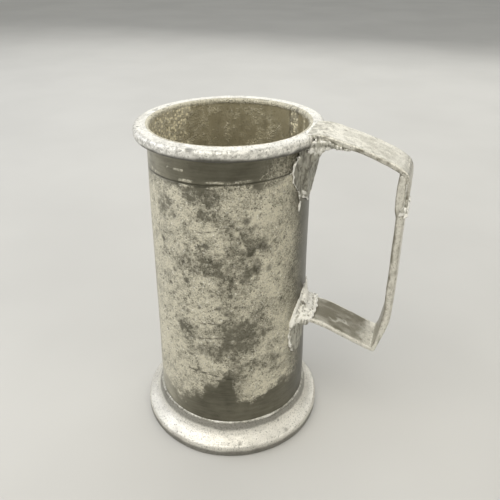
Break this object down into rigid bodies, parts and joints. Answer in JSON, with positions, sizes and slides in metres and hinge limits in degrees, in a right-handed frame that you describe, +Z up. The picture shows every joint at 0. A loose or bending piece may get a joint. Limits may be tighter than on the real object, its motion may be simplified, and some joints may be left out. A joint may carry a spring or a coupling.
{
  "type": "pewter measure",
  "caption": "Tall cylindrical pewter measure with a thick rounded lip, a flared hollow foot and a square bar handle soldered to the lip and the wall.",
  "frame": {"origin": "centre of the foot's standing ring, on the plane that it rests on", "axes": "+Z up along the drum's axis, out of the mouth; +X towards the handle; +Y completes the right-handed frame"},
  "size_m": [0.156, 0.1144, 0.1953],
  "materials": {
    "drum_pewter": "cast and turned pewter, mottled grey patina with pits",
    "lip_pewter": "pewter worn bright by use",
    "foot_pewter": "cast pewter, bright on the flare and dark in the cove",
    "handle_pewter": "bent bar of pewter, worn and scratched",
    "solder": "tin solder, crusty and bright"
  },
  "bodies": {
    "root": {"drum": "drum_pewter", "rim_ring": "lip_pewter", "floor_disc": "drum_pewter", "foot_ring": "foot_pewter", "foot_seam_solder": "solder", "floor_seam_solder": "solder", "handle_upper_strap": "handle_pewter", "handle_grip_strap": "handle_pewter", "rim_joint_solder": "solder", "body_joint_solder": "solder", "grip_lap_solder": "solder"}
  },
  "joints": []
}
